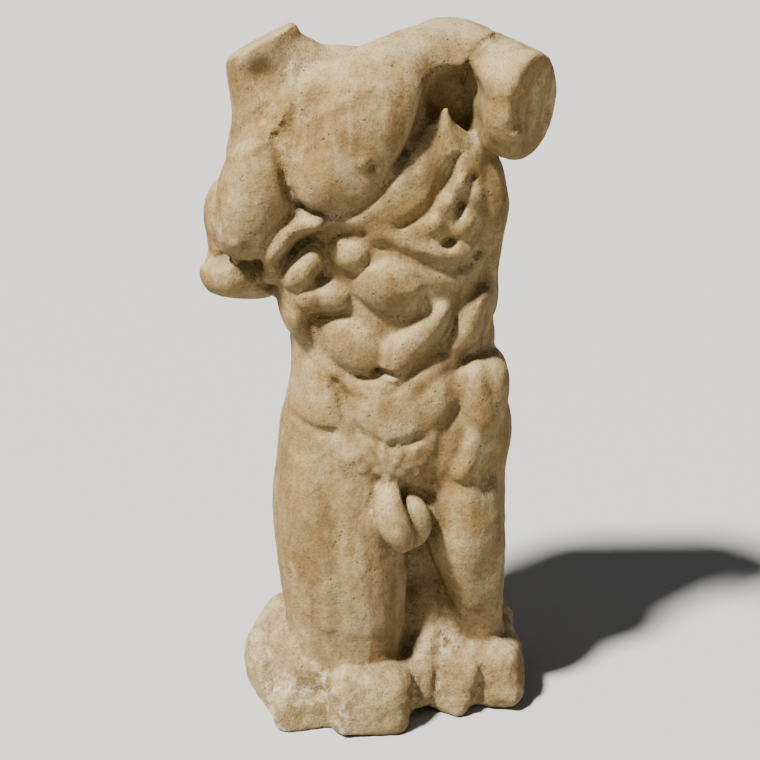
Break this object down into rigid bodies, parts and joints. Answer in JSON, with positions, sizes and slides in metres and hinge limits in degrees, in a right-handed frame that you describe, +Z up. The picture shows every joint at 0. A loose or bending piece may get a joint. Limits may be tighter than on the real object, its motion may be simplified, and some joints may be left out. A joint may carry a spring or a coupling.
{
  "type": "stone torso statue",
  "caption": "Weathered stone statue of a muscular male torso, broken off at neck and arms, standing on a rough rock base cast in one piece with it.",
  "frame": {"origin": "on the floor, under the middle of the statue's box", "axes": "+Z up, -Y towards the viewer in front of the chest, +X to the viewer's right"},
  "size_m": [0.3488, 0.2132, 0.7317],
  "materials": {
    "stone": "matt weathered tan limestone with pale chalky hollows and brown ochre stains"
  },
  "bodies": {
    "root": {"torso": "stone"}
  },
  "joints": []
}
